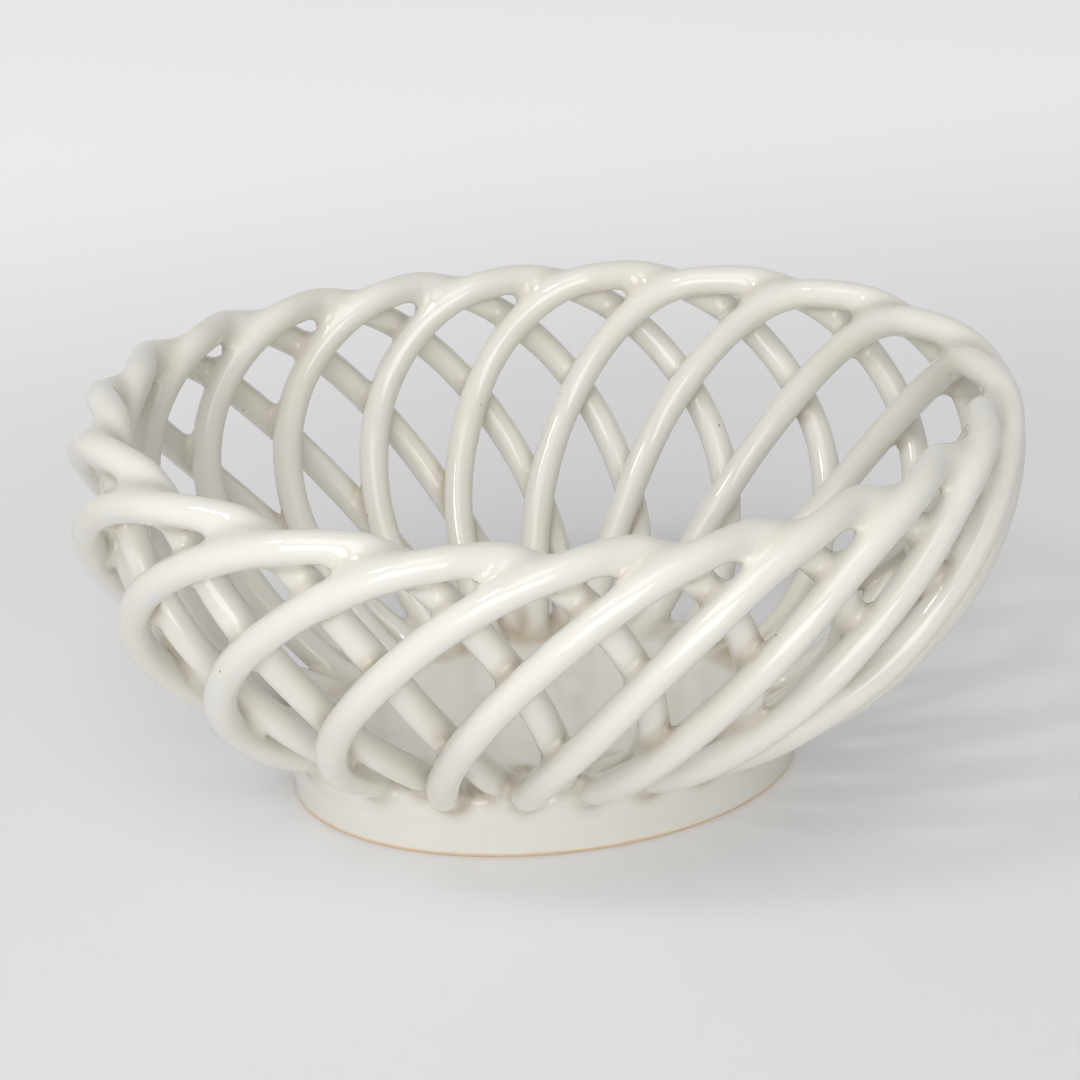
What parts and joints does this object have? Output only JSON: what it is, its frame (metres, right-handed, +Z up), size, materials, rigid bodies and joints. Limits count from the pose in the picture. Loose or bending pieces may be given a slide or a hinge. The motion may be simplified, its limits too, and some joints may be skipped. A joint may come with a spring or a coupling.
{
  "type": "woven ceramic bowl",
  "caption": "Oval openwork bowl of round glazed clay coils, woven as leaning arches on a floor slab with a foot ring.",
  "frame": {"origin": "middle of the foot's underside, on the surface that the bowl stands on", "axes": "+X along the long axis of the oval, +Y along the short axis, +Z up"},
  "size_m": [0.2928, 0.245, 0.127],
  "materials": {
    "glaze": "glossy cream-white glaze over pale clay, bare along the foot's lowest edge"
  },
  "bodies": {
    "root": {"foot_ring": "glaze", "floor_slab": "glaze", "coil_01": "glaze", "coil_02": "glaze", "coil_03": "glaze", "coil_04": "glaze", "coil_05": "glaze", "coil_06": "glaze", "coil_07": "glaze", "coil_08": "glaze", "coil_09": "glaze", "coil_10": "glaze", "coil_11": "glaze", "coil_12": "glaze", "coil_13": "glaze", "coil_14": "glaze", "coil_15": "glaze", "coil_16": "glaze", "coil_17": "glaze", "coil_18": "glaze", "coil_19": "glaze", "coil_20": "glaze"}
  },
  "joints": []
}
